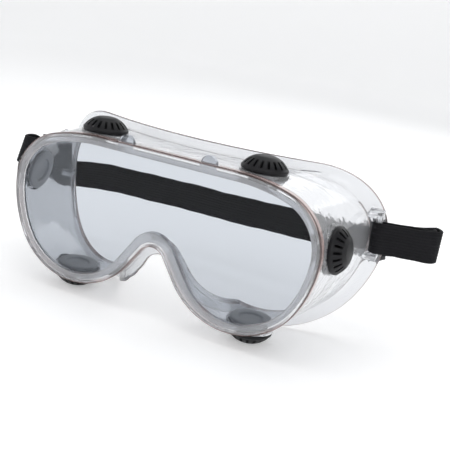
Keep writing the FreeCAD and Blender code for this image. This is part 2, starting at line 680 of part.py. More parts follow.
def strap_adjuster():
    """Slide with a middle bar: one ply passes in front of the bar and the other behind it."""
    at = on_run(sheet.adjuster_place, PITCH / 2)
    body = doc.addObject("PartDesign::Body", "Adjuster")
    sketch = body.newObject("Sketcher::SketchObject", "Section")
    plane = next(f for f in body.Origin.OriginFeatures if f.Role == "YZ_Plane")
    sketch.AttachmentSupport = [(plane, "")]
    sketch.MapMode = "FlatFace"
    high = sheet.strap_width / 2 + sheet.adjuster_play
    slot = sheet.strap_thickness + 2 * sheet.adjuster_play
    near, deep = PITCH / 2 - slot / 2, PITCH / 2 + slot / 2
    front, rail = deep + sheet.adjuster_skin, high + sheet.adjuster_margin

    def rectangle(y0, z0, y1, z1):
        ring = [V(y0, z0, 0), V(y1, z0, 0), V(y1, z1, 0), V(y0, z1, 0)]
        first = sketch.GeometryCount
        for i in range(4):
            sketch.addGeometry(Part.LineSegment(ring[i], ring[(i + 1) % 4]), False)
        for i in range(4):
            sketch.addConstraint(Sketcher.Constraint("Coincident", first + i, 2, first + (i + 1) % 4, 1))
            sketch.addConstraint(Sketcher.Constraint("Block", first + i))

    rectangle(-front, -rail, front, rail)
    rectangle(near, -high, deep, high)
    rectangle(-deep, -high, -near, high)
    pad = body.newObject("PartDesign::Pad", "Extruded")
    pad.Profile = sketch
    pad.setExpression("Length", "Sizes.adjuster_length")
    pad.SideType = "Symmetric"
    body.Tip = pad
    level = FreeCAD.Rotation(V(0, 0, 1), math.degrees(run_heading))
    pitch = FreeCAD.Rotation(V(0, 1, 0), -math.degrees(math.atan2(run_rise, run_length)))
    body.Placement = FreeCAD.Placement(place(*at), level * pitch)
    return keep(body, "strap_adjuster")


adjuster = strap_adjuster()

# ---------------------------------------------------------------- check and write

doc.recompute()
for thing in doc.Objects:
    if "Invalid" in thing.State or "Error" in thing.State:
        raise RuntimeError(f"{thing.Name} failed: {thing.State}")
os.makedirs("parts", exist_ok=True)
for node in nodes:
    shape = node.Shape
    if shape.isNull() or not shape.isValid() or not shape.Solids:
        raise RuntimeError(f"{node.Label} has no valid solid")
    shape.exportStep(f"parts/{node.Label}.step")
    size = shape.BoundBox
    print(f"{node.Label}: {len(shape.Solids)} solid, {shape.Volume:.0f} mm3, "
          f"x {size.XMin:.1f}..{size.XMax:.1f}, y {size.YMin:.1f}..{size.YMax:.1f}, "
          f"z {size.ZMin:.1f}..{size.ZMax:.1f}")
for label, point, axis in stations:
    print(f"vent {label}: seat ({point.x:.2f}, {point.y:.2f}, {point.z:.2f}), "
          f"axis ({axis.x:.5f}, {axis.y:.5f}, {axis.z:.5f}), pull {sheet.cap_travel:.1f}")
travel = adjuster.Placement.Rotation.multVec(V(1, 0, 0))
print(f"adjuster: travel ({travel.x:.5f}, {travel.y:.5f}, {travel.z:.5f})")
print(f"strap bar: x {bar_x:.2f}, y {FRONT + lug_depth:.2f}, z {MIDDLE + sheet.lug_z:.2f}, "
      f"wall {lug_wall:.2f}")
whole = FreeCAD.BoundBox()
for node in nodes:
    whole.add(node.Shape.BoundBox)
print(f"whole: x {whole.XMin:.2f}..{whole.XMax:.2f}, y {whole.YMin:.2f}..{whole.YMax:.2f}, "
      f"z {whole.ZMin:.2f}..{whole.ZMax:.2f}; strap {strap_length:.0f} mm long")
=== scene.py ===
import math

import bmesh
import bpy
from mathutils import Matrix, Vector
from mathutils.bvhtree import BVHTree


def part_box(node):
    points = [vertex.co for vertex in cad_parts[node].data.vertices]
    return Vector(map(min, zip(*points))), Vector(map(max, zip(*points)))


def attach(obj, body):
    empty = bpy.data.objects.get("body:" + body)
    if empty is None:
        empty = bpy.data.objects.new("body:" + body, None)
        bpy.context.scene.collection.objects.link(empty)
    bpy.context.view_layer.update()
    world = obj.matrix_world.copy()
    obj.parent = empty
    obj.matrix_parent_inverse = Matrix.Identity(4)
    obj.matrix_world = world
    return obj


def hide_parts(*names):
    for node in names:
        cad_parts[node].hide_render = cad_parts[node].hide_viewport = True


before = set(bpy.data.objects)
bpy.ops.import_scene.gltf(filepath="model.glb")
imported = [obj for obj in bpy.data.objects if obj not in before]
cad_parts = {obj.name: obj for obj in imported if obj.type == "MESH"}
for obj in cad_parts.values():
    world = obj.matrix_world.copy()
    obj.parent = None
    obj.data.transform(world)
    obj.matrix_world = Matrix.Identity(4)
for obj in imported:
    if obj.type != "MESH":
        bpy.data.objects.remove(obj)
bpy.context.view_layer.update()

# ------------------------------------------------------------------ clear frame moulding
# Rim, walls, face flange, vent rings and strap lugs are one soft clear vinyl moulding.  It is drawn
# as one closed skin: a section swept round the goggles, with the lugs and rings joined to it.

MM = 0.001
rim_low, rim_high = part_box("rim")
FRONT = rim_low[1] / MM
MIDDLE = (rim_low[2] + rim_high[2]) / 2 / MM
RIM_DEPTH = 4.5
RIM_STEP = 0.8
WALL = 2.0
FACE_DEPTH = 33.0
FACE_RADIUS = 144.0
BRIDGE_DEPTH, BRIDGE_RADIUS, BRIDGE_BLEND = 12.0, 34.0, 3.0
FLANGE_WIDTH = 4.5
FACE_OVERRUN = 5.0
FLANGE_THICKNESS = 1.6
RIM = dict(width=79.8, top=37.0, bottom=-37.0, flat=36.0, side_z=7.5, lobe_x=42.4,
           nose_z=-8.0, nose_radius=6.9, slope=math.radians(56))
FACE = dict(width=88.4, top=36.6, bottom=-39.3, flat=58.0, side_z=8.0, lobe_x=48.0,
            nose_z=-9.5, nose_radius=13.0, slope=math.radians(62))
BROW_TURN, CHEEK_TURN = math.radians(17), math.radians(30)
BEZEL_WIDTH, NOSE_BEZEL, GROOVE_INSET = 4.6, 2.4, 2.3


def place(x, depth, height):
    """A point in metres, from millimetres off the middle of the rim's front face."""
    return Vector((x, FRONT + depth, MIDDLE + height)) * MM


def corner_radii(run, drop, turn):
    """Radii of two tangent arcs that turn a quarter circle over a run and a drop."""
    s, c = math.sin(turn), math.cos(turn)
    second = (drop * s - run * (1 - c)) / (c * s - (1 - s) * (1 - c))
    return (run - second * (1 - s)) / s, second


def outline(shape, offset):
    """Points (x, z) round the goggles: straight brow, tangent arcs, cheek lobes and nose arch."""
    quarter = math.pi / 2
    brow = corner_radii(shape["width"] - shape["flat"], shape["top"] - shape["side_z"], BROW_TURN)
    cheek = corner_radii(shape["side_z"] - shape["bottom"], shape["width"] - shape["lobe_x"], CHEEK_TURN)
    slope, nose = shape["slope"], shape["nose_radius"]
    s, c = math.sin(slope), math.cos(slope)
    run = shape["lobe_x"] - nose * s
    rise = shape["nose_z"] - shape["bottom"] - nose * (1 - c)
    lobe = (run * s - rise * c) / (s * s - (1 - c) * c)
    flank = (rise - lobe * (1 - c)) / s
    half = [(shape["flat"] * i / 16, shape["top"] + offset) for i in range(17)]
    point, heading = half[-1], 0.0
    for radius, turn, steps in ((brow[0], BROW_TURN, 10), (brow[1], quarter - BROW_TURN, 26),
                                (cheek[0], CHEEK_TURN, 16), (cheek[1], quarter - CHEEK_TURN, 22),
                                (lobe, slope, 22)):
        reach = radius + offset
        centre = (point[0] + reach * math.sin(heading), point[1] - reach * math.cos(heading))
        for i in range(1, steps + 1):
            angle = heading - turn * i / steps
            half.append((centre[0] - reach * math.sin(angle), centre[1] + reach * math.cos(angle)))
        point, heading = half[-1], heading - turn
    for i in range(1, 7):
        along = flank * i / 6
        half.append((point[0] + along * math.cos(heading), point[1] + along * math.sin(heading)))
    for i in range(1, 13):
        angle = slope * (1 - i / 12)
        reach = nose - offset
        half.append((reach * math.sin(angle), shape["nose_z"] - nose + reach * math.cos(angle)))
    return half + [(-x, z) for x, z in reversed(half[1:-1])]


def face_depth_at(x, standoff=0.0, z=MIDDLE):
    """Depth of the wearer's face, with the nose that stands out of it, or of a surface in front of it."""
    cheek = FACE_DEPTH + FACE_RADIUS - math.sqrt((FACE_RADIUS + standoff) ** 2 - x ** 2)
    reach = (BRIDGE_RADIUS + standoff) ** 2 - x ** 2
    if z > 0 or reach <= 0:
        return cheek
    nose = BRIDGE_DEPTH + BRIDGE_RADIUS - math.sqrt(reach)
    meet = max(BRIDGE_BLEND - abs(nose - cheek), 0.0) / BRIDGE_BLEND
    return min(nose, cheek) - meet ** 2 * BRIDGE_BLEND / 4


REAR_DEPTH = face_depth_at(FACE["width"] + FLANGE_WIDTH) + FACE_OVERRUN


def rim_row(offset, depth):
    """A ring on the rim, whose face widens over the nose from the lens's edge inward."""
    lift = NOSE_BEZEL * max(0.0, (offset + GROOVE_INSET) / (GROOVE_INSET - BEZEL_WIDTH))
    return [place(x, depth, z) for x, z in outline(dict(RIM, nose_z=RIM["nose_z"] + lift), offset)]


def wall_row(inset, share, standoff):
    """A ring on the wall's skin, at a share of the way from the rim to the flange."""
    row = []
    for (ax, az), (bx, bz) in zip(outline(RIM, -RIM_STEP - inset), outline(FACE, -inset)):
        depth = FACE_DEPTH
        for _ in range(12):
            along = (depth - RIM_DEPTH) / (REAR_DEPTH - RIM_DEPTH)
            depth = face_depth_at(ax + (bx - ax) * along, standoff, az + (bz - az) * along)
        depth = RIM_DEPTH + (depth - RIM_DEPTH) * share
        along = (depth - RIM_DEPTH) / (REAR_DEPTH - RIM_DEPTH)
        row.append(place(ax + (bx - ax) * along, depth, az + (bz - az) * along))
    return row


def flange_row(offset, standoff):
    """A ring on the flange, whose nose flap waves a little, as soft thin vinyl does."""
    row = []
    for (x, z), (fx, fz) in zip(outline(FACE, offset), outline(FACE, 0.0)):
        free = max(0.0, offset) / FLANGE_WIDTH
        near_nose = max(0.0, 1 - abs(abs(fx) - 24) / 15) * (fz < 0)
        wave = 0.9 * free * near_nose * math.sin(fz * 0.55)
        row.append(place(x - math.copysign(wave, x), face_depth_at(x, standoff, z) - abs(wave), z))
    return row


def skin(name, rows, edge_shade_mask=None):
    """Closed mesh of rings, each joined to the next and the last to the first."""
    count = len(rows[0])
    points = [p for row in rows for p in row]
    faces = []
    for r in range(len(rows)):
        low, high = r * count, (r + 1) % len(rows) * count
        for i in range(count):
            j = (i + 1) % count
            faces.append((low + i, low + j, high + j, high + i))
    mesh = bpy.data.meshes.new(name)
    mesh.from_pydata(points, [], faces)
    # Per-ring mask of painted edge shade, stored on the mesh for the vinyl's material.
    if edge_shade_mask:
        layer = mesh.attributes.new("painted_edge_shade", "FLOAT", "POINT")
        layer.data.foreach_set("value", [value for value in edge_shade_mask for _ in range(count)])
    return mesh


def show(name, mesh):
    """Links a mesh as an object, with its faces turned outward."""
    work = bmesh.new()
    work.from_mesh(mesh)
    bmesh.ops.recalc_face_normals(work, faces=work.faces)
    work.to_mesh(mesh)
    work.free()
    made = bpy.data.objects.new(name, mesh)
    bpy.context.scene.collection.objects.link(made)
    return made


def settle(made, *modifiers, crease=35.0):
    """Applies modifiers, each a kind and its settings, then shades smooth except at creases."""
    for kind, settings in modifiers:
        modifier = made.modifiers.new(kind.title(), kind)
        for key, value in settings.items():
            setattr(modifier, key, value)
    mesh = bpy.data.meshes.new_from_object(made.evaluated_get(bpy.context.evaluated_depsgraph_get()))
    made.modifiers.clear()
    made.data = mesh
    work = bmesh.new()
    work.from_mesh(mesh)
    bmesh.ops.remove_doubles(work, verts=work.verts, dist=1e-6)
    for face in work.faces:
        face.smooth = True
    for edge in work.edges:
        edge.smooth = len(edge.link_faces) == 2 and edge.calc_face_angle(0.0) < math.radians(crease)
    work.to_mesh(mesh)
    work.free()
    return made


def joined(name, *shapes):
    """One helper object out of several meshes."""
    work = bmesh.new()
    for shape in shapes:
        work.from_mesh(shape)
    mesh = bpy.data.meshes.new(name)
    work.to_mesh(mesh)
    work.free()
    return show(name, mesh)


def combine(made, operation, tool):
    """Joins a helper object to a piece or cuts it out, and removes the helper."""
    bpy.context.view_layer.update()
    settle(made, ("BOOLEAN", {"operation": operation, "object": tool, "solver": "EXACT"}))
    bpy.data.objects.remove(tool)
    return made


def lathe(name, profile, matrix, steps=64):
    """Solid of revolution from (radius, height) points in mm, about its own Z axis."""
    work = bmesh.new()
    rings = []
    for radius, height in profile:
        if radius < 1e-6:
            rings.append([work.verts.new((0, 0, height * MM))])
            continue
        rings.append([work.verts.new((radius * MM * math.cos(math.tau * i / steps),
                                      radius * MM * math.sin(math.tau * i / steps), height * MM))
                      for i in range(steps)])
    closed = len(rings[0]) > 1
    for a, b in zip(rings, rings[1:] + (rings[:1] if closed else [])):
        for i in range(steps):
            j = (i + 1) % steps
            corners = [a[i % len(a)], a[j % len(a)], b[j % len(b)], b[i % len(b)]]
            work.faces.new(list(dict.fromkeys(corners)))
    bmesh.ops.recalc_face_normals(work, faces=work.faces)
    mesh = bpy.data.meshes.new(name)
    work.to_mesh(mesh)
    work.free()
    mesh.transform(matrix)
    return mesh


def block(name, low, high, matrix, edge=0.0):
    """Box between two corners in mm, with rounded edges."""
    work = bmesh.new()
    bmesh.ops.create_cube(work, size=1.0)
    for vert in work.verts:
        vert.co = Vector([low[k] + (vert.co[k] + 0.5) * (high[k] - low[k]) for k in range(3)]) * MM
    if edge:
        bmesh.ops.bevel(work, geom=work.edges, offset=edge * MM, segments=3, profile=0.5, affect="EDGES")
    mesh = bpy.data.meshes.new(name)
    work.to_mesh(mesh)
    work.free()
    mesh.transform(matrix)
    return mesh


# The section: two beads on the rim's face, the wall, the turned-out flange with its rounded lip, the
# inner wall, and the groove that holds the lens.
RIM_FACE = [(-4.6, 1.1), (-4.6, 0.75), (-4.4, 0.38), (-3.95, 0.12), (-3.4, 0.02), (-2.8, 0.08),
            (-2.3, 0.24), (-1.9, 0.34), (-1.55, 0.26), (-1.2, 0.08), (-0.85, 0.0), (-0.45, 0.06),
            (-0.13, 0.3), (0.0, 0.7), (0.0, 1.6), (0.0, 2.6), (0.0, 3.6), (0.0, 4.1),
            (-0.15, 4.4), (-0.45, 4.5)]
RIM_BACK = [(-4.3, 4.5), (-4.55, 4.3), (-4.6, 3.9), (-4.6, 3.3), (-2.3, 3.3), (-2.3, 1.1)]
rows = [rim_row(*at) for at in RIM_FACE]
# Painted shade: rings on the rim's outer bead, and further down the flange's outer lip, are marked 1 to take
# a dark brownish colour where the clear edges look dark.
edge_shade_mask = [1.0 if offset > -0.5 else 0.0 for offset, depth in RIM_FACE]
for share in (0.004, 0.06, 0.15, 0.28, 0.42, 0.56, 0.7, 0.82, 0.91, 0.97):
    rows.append(wall_row(0.0, share, FLANGE_THICKNESS + 0.4))
    edge_shade_mask.append(0.0)
LIP = [(0.35, 1.0), (0.9, 1.0), (2.0, 1.0), (3.2, 1.0), (4.0, 0.97), (4.4, 0.8), (4.5, 0.5),
       (4.4, 0.2), (4.0, 0.03), (3.0, 0.0), (1.5, 0.0), (0.0, 0.0), (-1.2, 0.0)]
for offset, share in LIP:
    rows.append(flange_row(offset, FLANGE_THICKNESS * share))
    edge_shade_mask.append(1.0 if offset > 4.3 else 0.0)
for share in (0.985, 0.94, 0.84, 0.7, 0.55, 0.4, 0.25, 0.12, 0.03):
    rows.append(wall_row(WALL, share, 0.0))
    edge_shade_mask.append(0.0)
rows += [rim_row(*at) for at in RIM_BACK]
edge_shade_mask += [0.0] * len(RIM_BACK)
moulding = show("frame_moulding", skin("frame_moulding", rows, edge_shade_mask))

VENT_DEPTH = 16.2
TOP_VENT_X, BOTTOM_VENT_X, SIDE_VENT_Z = 42.0, 48.5, 10.0
SIDE_LIFT, SIDE_TURN = math.radians(8), math.radians(5)
STEM_HOLE = 5.08
INSERT_SEAT = 10.1
BOSS_RADIUS, BOSS_HEIGHT, BOSS_THICKNESS = 11.5, 0.7, 3.4
SIDES = {"right": 1, "left": -1}
surface = BVHTree.FromPolygons([v.co for v in moulding.data.vertices],
                               [p.vertices for p in moulding.data.polygons])


def wall_hit(start, direction):
    """The outermost point of the moulding along a ray from inside the goggles."""
    far, step = None, 1e-5
    while True:
        point = surface.ray_cast(start, direction)[0]
        if point is None:
            return far
        far, start = point, point + direction * step


def vent_stations():
    """Name, seat centre and outward direction of each vent."""
    for word, side in SIDES.items():
        for level, x, axis in (("top", TOP_VENT_X, Vector((0, 0, 1))),
                               ("bottom", BOTTOM_VENT_X, Vector((0, 0, -1)))):
            yield f"{level}_{word}", wall_hit(place(side * x, VENT_DEPTH, 0), axis), axis
        axis = Vector((side * math.cos(SIDE_LIFT) * math.cos(SIDE_TURN),
                       -math.sin(SIDE_TURN) * math.cos(SIDE_LIFT), math.sin(SIDE_LIFT)))
        yield f"side_{word}", wall_hit(place(0, VENT_DEPTH, SIDE_VENT_Z), Vector((side, 0, 0))), axis


def seated(point, axis):
    """Matrix that stands a turned shape on a vent's seat, its own Z along the vent's axis."""
    return Matrix.Translation(point) @ Vector((0, 0, 1)).rotation_difference(axis).to_matrix().to_4x4()


stations = [(label, seated(point, axis)) for label, point, axis in vent_stations()]
BOSS_BACK = BOSS_HEIGHT - BOSS_THICKNESS
BOSS_PROFILE = [(0, BOSS_BACK), (BOSS_RADIUS, BOSS_BACK), (BOSS_RADIUS, BOSS_HEIGHT - 0.4),
                (BOSS_RADIUS - 0.12, BOSS_HEIGHT - 0.12), (BOSS_RADIUS - 0.4, BOSS_HEIGHT), (0, BOSS_HEIGHT)]
bosses = [lathe("boss", BOSS_PROFILE, matrix) for _, matrix in stations]

LUG_Z, LUG_LEAN = 11.5, math.radians(13)
LUG_OPENING, LUG_ARM, LUG_LENGTH, LUG_GAP, LUG_BAR = 20.0, 2.6, 7.0, 3.0, 1.5
LUG_SETBACK, LUG_ROOT, LUG_ROUND = 6.8, 1.2, 0.6
lug_depth = face_depth_at(FACE["width"], FLANGE_THICKNESS) - LUG_SETBACK
lug_wall = wall_hit(place(0, lug_depth, LUG_Z), Vector((1, 0, 0)))[0] / MM
bar_x = lug_wall + LUG_GAP + LUG_BAR
lugs = []
for side in SIDES.values():
    stand = Matrix.Translation(place(0, lug_depth, LUG_Z)) @ Matrix.Rotation(LUG_LEAN, 4, "X")
    half = LUG_OPENING / 2
    for end in (-1, 1):
        low_z, high_z = sorted((end * half, end * (half + LUG_ARM)))
        low_x, high_x = sorted((side * (lug_wall - LUG_ROOT), side * (bar_x + LUG_BAR)))
        lugs.append(block("lug_arm", (low_x, -LUG_LENGTH / 2, low_z), (high_x, LUG_LENGTH / 2, high_z),
                          stand, LUG_ROUND))
    tall = half + LUG_ARM / 2
    bar = [(0, -tall), (LUG_BAR, -tall), (LUG_BAR, tall), (0, tall)]
    lugs.append(lathe("lug_bar", bar, stand @ Matrix.Translation((side * bar_x * MM, 0, 0)), 24))

combine(moulding, "UNION", joined("additions", *bosses))
for shape in lugs:
    combine(moulding, "UNION", joined("addition", shape))

TONGUE_X, TONGUE_WIDTH, TONGUE_HEIGHT, TONGUE_ROOT = 21.2, 7.8, 3.6, 2.0
LENS_FRONT, LENS_THICKNESS, LENS_INSET = 1.2, 2.0, 2.2


def tongue(side, extra):
    """Round-topped tongue on the lens's top edge, or with extra, the notch that clears it."""
    half = TONGUE_WIDTH / 2 + extra
    foot = RIM["top"] - LENS_INSET - TONGUE_ROOT
    crown = RIM["top"] + TONGUE_HEIGHT + extra - half
    ring = [(-half, foot)] + [(-half * math.cos(math.pi * i / 16), crown + half * math.sin(math.pi * i / 16))
                              for i in range(17)] + [(half, foot)]
    work = bmesh.new()
    front, back = [[work.verts.new(place(side * TONGUE_X + x, depth, z)) for x, z in ring]
                   for depth in (LENS_FRONT - extra, LENS_FRONT + LENS_THICKNESS + extra)]
    work.faces.new(front)
    work.faces.new(back[::-1])
    for i in range(len(ring)):
        j = (i + 1) % len(ring)
        work.faces.new((front[i], back[i], back[j], front[j]))
    bmesh.ops.recalc_face_normals(work, faces=work.faces)
    mesh = bpy.data.meshes.new("tongue")
    work.to_mesh(mesh)
    work.free()
    return mesh


HOLE_REACH, POCKET_REACH, NOTCH_PLAY = (-8, 4), 6, 0.1
holes = []
for _, matrix in stations:
    inside, outside = HOLE_REACH
    holes.append(lathe("hole", [(0, inside), (STEM_HOLE, inside),
                                (STEM_HOLE, outside), (0, outside)], matrix))
    holes.append(lathe("seat", [(0, BOSS_BACK - POCKET_REACH), (INSERT_SEAT, BOSS_BACK - POCKET_REACH),
                                (INSERT_SEAT, BOSS_BACK), (0, BOSS_BACK)], matrix))
for shape in holes + [tongue(side, NOTCH_PLAY) for side in SIDES.values()]:
    combine(moulding, "DIFFERENCE", joined("void", shape))


class Wire:
    """One output of a material's node tree.  Arithmetic on it adds Math nodes to that tree."""

    def __init__(self, tree, socket):
        self.tree, self.socket = tree, socket

    def node(self, kind, settings, inputs, output=0):
        """Adds a node: its settings first, then the values or links of its inputs."""
        made = self.tree.nodes.new(kind)
        for key, value in settings.items():
            setattr(made, key, value)
        for key, value in inputs.items():
            if isinstance(value, Wire):
                self.tree.links.new(value.socket, made.inputs[key])
            else:
                made.inputs[key].default_value = value
        return Wire(self.tree, made.outputs[output])

    def math(self, operation, first, second):
        return self.node("ShaderNodeMath", {"operation": operation}, {0: first, 1: second})

    def __add__(self, other):
        return self.math("ADD", self, other)

    def __sub__(self, other):
        return self.math("SUBTRACT", self, other)

    def __rsub__(self, other):
        return self.math("SUBTRACT", other, self)

    def __mul__(self, other):
        return self.math("MULTIPLY", self, other)

    def __pow__(self, other):
        return self.math("POWER", self, other)

    __radd__, __rmul__ = __add__, __mul__

    def noise(self, scale, detail=2.0):
        return self.node("ShaderNodeTexNoise", {}, {"Vector": self, "Scale": scale, "Detail": detail})

    def blend(self, first, second):
        """Colour between two others, with this wire as the share of the second."""
        return self.node("ShaderNodeMix", {"data_type": "RGBA"}, {0: self, 6: first, 7: second}, 2)

    def bump(self, strength, distance):
        return self.node("ShaderNodeBump", {}, {"Height": self, "Strength": strength, "Distance": distance})


def new_material(name, **constants):
    """A material, its shader with constants set on its own sockets, and its object coordinates."""
    made = bpy.data.materials.new(name)
    made.use_nodes = True
    tree = made.node_tree
    shader = tree.nodes["Principled BSDF"]
    for key, value in constants.items():
        shader.inputs[key.replace("_", " ")].default_value = value
    here = tree.nodes.new("ShaderNodeTexCoord").outputs["Object"]
    return made, shader, Wire(tree, here)


def feed(shader, **wires):
    """Links wires to a shader's inputs."""
    for key, wire in wires.items():
        wire.tree.links.new(wire.socket, shader.inputs[key.replace("_", " ")])


# Painted shade: the clear vinyl's colour turns dark brownish where the edge mask is 1, along the rim's outer
# bead and the flange lip.
VINYL_CLEAR, VINYL_EDGE_SHADE = (0.87, 0.88, 0.90, 1), (0.33, 0.21, 0.19, 1)
vinyl, shader, here = new_material("clear_vinyl", IOR=1.44)
shader.inputs["Transmission Weight"].default_value = 0.82
edge = here.node("ShaderNodeAttribute", {"attribute_name": "painted_edge_shade"}, {}, 2)
flow = here.noise(45.0, 3.0)
feed(shader, Base_Color=edge.blend(VINYL_CLEAR, VINYL_EDGE_SHADE), Roughness=flow * 0.08 + 0.01,
     Normal=(flow + here.noise(380.0) * 0.12).bump(0.35, 0.0012))
moulding.data.materials.clear()
moulding.data.materials.append(vinyl)
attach(moulding, "frame")
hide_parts("rim", "walls", "face_flange", "strap_lug_right", "strap_lug_left")

# ------------------------------------------------------------------ lens
# A flat 2 mm polycarbonate sheet, cut to the rim's outline.  Two round tongues on its top edge stand
# up through notches in the rim and keep it from turning.

LENS_BREAK = 0.25
lens_rows = [(-LENS_INSET - LENS_BREAK, LENS_FRONT), (-LENS_INSET, LENS_FRONT + LENS_BREAK),
             (-LENS_INSET, LENS_FRONT + LENS_THICKNESS - LENS_BREAK),
             (-LENS_INSET - LENS_BREAK, LENS_FRONT + LENS_THICKNESS)]
work = bmesh.new()
rings = [[work.verts.new(place(x, depth, z)) for x, z in outline(RIM, offset)] for offset, depth in lens_rows]
for a, b in zip(rings, rings[1:]):
    for i in range(len(a)):
        j = (i + 1) % len(a)
        work.faces.new((a[i], a[j], b[j], b[i]))
work.faces.new(rings[0])
work.faces.new(rings[-1][::-1])
mesh = bpy.data.meshes.new("lens_sheet")
work.to_mesh(mesh)
work.free()
lens = show("lens_sheet", mesh)
for side in SIDES.values():
    combine(lens, "UNION", joined("tongue", tongue(side, 0.0)))

glass, shader, here = new_material("clear_sheet", IOR=1.2, Specular_IOR_Level=0.3)
shader.inputs["Transmission Weight"].default_value = 1.0
shader.inputs["Base Color"].default_value = (0.60, 0.63, 0.67, 1)
haze = here.noise(70.0, 4.0)
feed(shader, Roughness=haze * 0.02)
lens.data.materials.clear()
lens.data.materials.append(glass)
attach(lens, "frame")
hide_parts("lens")

# ------------------------------------------------------------------ vent inserts
# A plug of grey plastic, pushed through the wall from inside.  Its dished disc shows through the
# lens, and its tube carries the cap outside.

INSERT_RADIUS, INSERT_THICKNESS = 10.0, 1.8
DISH_RADIUS, DISH_DEPTH = 5.8, 1.1
STEM_RADIUS, STEM_WALL, STEM_HEIGHT = 5.0, 1.1, 3.0
DISH_FLOOR = 0.8
insert_seat = BOSS_BACK - INSERT_THICKNESS
INSERT_PROFILE = [(0, DISH_DEPTH), (DISH_RADIUS - 0.5, DISH_DEPTH), (DISH_RADIUS - 0.2, DISH_DEPTH - 0.15),
                  (DISH_RADIUS, 0.35), (DISH_RADIUS + 0.12, 0.1), (DISH_RADIUS + 0.4, 0),
                  (INSERT_RADIUS - 0.6, 0), (INSERT_RADIUS - 0.2, 0.15), (INSERT_RADIUS, 0.5),
                  (INSERT_RADIUS, INSERT_THICKNESS), (STEM_RADIUS, INSERT_THICKNESS),
                  (STEM_RADIUS, INSERT_THICKNESS + BOSS_THICKNESS + STEM_HEIGHT),
                  (STEM_RADIUS - STEM_WALL, INSERT_THICKNESS + BOSS_THICKNESS + STEM_HEIGHT),
                  (STEM_RADIUS - STEM_WALL, DISH_DEPTH + DISH_FLOOR), (0, DISH_DEPTH + DISH_FLOOR)]


def satin_plastic(name, colour, grain_scale, grain_height):
    """Satin moulding with a fine spark grain and faint paler wear."""
    made, shader, here = new_material(name, Specular_IOR_Level=0.22)
    grain, wear = here.noise(grain_scale, 2.0), here.noise(160.0, 3.0)
    worn = tuple(0.008 + c * 1.25 for c in colour[:3]) + (1,)
    feed(shader, Base_Color=(wear ** 3).blend(colour, worn), Roughness=wear * 0.16 + 0.36,
         Normal=grain.bump(0.4, grain_height))
    return made


insert_grey = satin_plastic("insert_plastic", (0.45, 0.455, 0.465, 1), 1500.0, 0.00012)
for label, matrix in stations:
    seat = matrix @ Matrix.Translation((0, 0, insert_seat * MM))
    shape = lathe(f"vent_insert_{label}", INSERT_PROFILE, seat, 96)
    insert = settle(show(f"insert_{label}", shape), crease=50.0)
    insert.data.materials.append(insert_grey)
    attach(insert, "frame")
    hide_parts(f"vent_insert_{label}")

# ------------------------------------------------------------------ vent caps
# Each cap is a crowned black moulding with eighteen slots.  Air goes in through the slots and turns
# inside, so that a splash can't.  Its sleeve slips over the insert's tube, and it pulls off.

CAP_RADIUS, CAP_HEIGHT, CAP_GAP, CAP_SKIRT = 10.9, 6.4, 0.3, 1.5
CAP_TOP, CAP_DOME, CAP_WALL, CAP_LEDGE = 4.3, 11.0, 1.2, 0.4
SLOTS, SLOT_WIDTH, SLOT_INNER, SLOT_OUTER, SLOT_FLOOR = 18, 1.2, 6.8, 10.0, 2.1
SLEEVE, SLEEVE_LIFT = 1.0, 0.4


def crown(start, end, radius, steps):
    """Points of the cap's crowned side, an arc between two corners of its profile."""
    a, b = Vector(start), Vector(end)
    chord = b - a
    normal = Vector((chord.y, -chord.x)).normalized()
    centre = (a + b) / 2 - normal * math.sqrt(radius ** 2 - (chord.length / 2) ** 2)
    first, last = (math.atan2(p.y - centre.y, p.x - centre.x) for p in (a, b))
    return [(centre.x + radius * math.cos(first + (last - first) * i / steps),
             centre.y + radius * math.sin(first + (last - first) * i / steps)) for i in range(steps + 1)]


SLEEVE_PLAY = 0.08
sleeve_in = STEM_RADIUS + SLEEVE_PLAY
CAP_PROFILE = ([(0, CAP_HEIGHT - CAP_WALL), (sleeve_in, CAP_HEIGHT - CAP_WALL), (sleeve_in, SLEEVE_LIFT),
                (sleeve_in + SLEEVE, SLEEVE_LIFT), (sleeve_in + SLEEVE, CAP_HEIGHT - CAP_WALL - 0.6),
                (CAP_RADIUS - CAP_WALL, CAP_SKIRT), (CAP_RADIUS - CAP_WALL, 0.1),
                (CAP_RADIUS - CAP_WALL + 0.1, 0), (CAP_RADIUS - 0.2, 0), (CAP_RADIUS, 0.2),
                (CAP_RADIUS, CAP_SKIRT - 0.2), (CAP_RADIUS - 0.1, CAP_SKIRT)]
               + crown((CAP_RADIUS - CAP_LEDGE, CAP_SKIRT + CAP_LEDGE / 2), (CAP_TOP + 0.3, CAP_HEIGHT - 0.1),
                       CAP_DOME, 10)
               + [(CAP_TOP, CAP_HEIGHT), (0, CAP_HEIGHT)])
cap_pattern = show("cap_pattern", lathe("cap_pattern", CAP_PROFILE, Matrix(), 144))
slot_low, slot_high = (SLOT_INNER, -SLOT_WIDTH / 2, SLOT_FLOOR), (SLOT_OUTER, SLOT_WIDTH / 2, CAP_HEIGHT + 1)
slot_shapes = [block("slot", slot_low, slot_high, Matrix.Rotation(math.tau * i / SLOTS, 4, "Z"))
               for i in range(SLOTS)]
combine(cap_pattern, "DIFFERENCE", joined("slots", *slot_shapes))
settle(cap_pattern, ("BEVEL", {"width": 0.00012, "segments": 2, "limit_method": "ANGLE",
                               "angle_limit": math.radians(40)}), crease=30.0)
cap_black = satin_plastic("cap_plastic", (0.008, 0.008, 0.0095, 1), 1900.0, 0.0001)
for label, matrix in stations:
    cap = bpy.data.objects.new(f"cap_{label}", cap_pattern.data.copy())
    bpy.context.scene.collection.objects.link(cap)
    cap.data.transform(matrix @ Matrix.Translation((0, 0, (BOSS_HEIGHT + CAP_GAP) * MM)))
    cap.data.materials.clear()
    cap.data.materials.append(cap_black)
    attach(cap, f"{label}_cap")
    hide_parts(f"vent_cap_{label}")
